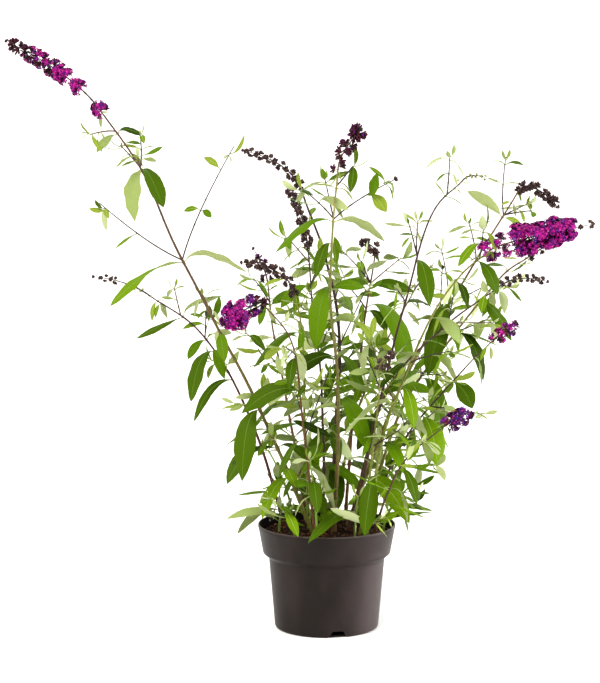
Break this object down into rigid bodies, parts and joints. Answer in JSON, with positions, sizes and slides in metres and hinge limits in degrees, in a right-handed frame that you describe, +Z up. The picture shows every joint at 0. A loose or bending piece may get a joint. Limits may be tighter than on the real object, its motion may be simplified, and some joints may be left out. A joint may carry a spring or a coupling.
{
  "type": "potted butterfly bush",
  "caption": "Open, many-stemmed flowering shrub with opposite lance-shaped leaves and purple panicles, growing in a round nursery pot.",
  "frame": {"origin": "centre of the pot's flat underside, on the surface that it stands on", "axes": "+Z up, -Y the front, +X to the right seen from the front"},
  "size_m": [0.7772, 0.5581, 0.8183],
  "materials": {
    "pot": "satin black-grey moulded polypropylene",
    "compost": "matt bark and peat compost",
    "stems": "thin reddish-brown bark, green above",
    "sprays": "green leaves with pale felted undersides and magenta flowers"
  },
  "bodies": {
    "root": {"pot": "pot", "compost": "compost", "stem_left_long": "stems", "stem_left_low": "stems", "stem_front_left": "stems", "stem_front_arch": "stems", "stem_centre_left": "stems", "stem_back_thick": "stems", "stem_centre": "stems", "stem_centre_right": "stems", "stem_right_slim": "stems", "stem_right_green": "stems", "stem_right_tall": "stems", "stem_right_back": "stems", "stem_right_low": "stems", "stem_right_thin": "stems", "stem_right_bottom": "stems", "stem_back_left": "stems", "stem_back_right": "stems", "stem_front_short": "stems", "spray_left_long": "sprays", "spray_left_low": "sprays", "spray_front_left": "sprays", "spray_front_arch": "sprays", "spray_centre_left": "sprays", "spray_back_thick": "sprays", "spray_centre": "sprays", "spray_centre_right": "sprays", "spray_right_slim": "sprays", "spray_right_green": "sprays", "spray_right_tall": "sprays", "spray_right_back": "sprays", "spray_right_low": "sprays", "spray_right_thin": "sprays", "spray_right_bottom": "sprays", "spray_back_left": "sprays", "spray_back_right": "sprays", "spray_front_short": "sprays", "spray_foot_west": "sprays", "spray_foot_south_west": "sprays", "spray_foot_south": "sprays", "spray_foot_south_east": "sprays", "spray_foot_east": "sprays", "spray_foot_north_east": "sprays", "spray_foot_north": "sprays", "spray_foot_north_west": "sprays", "spray_foot_middle": "sprays"}
  },
  "joints": []
}
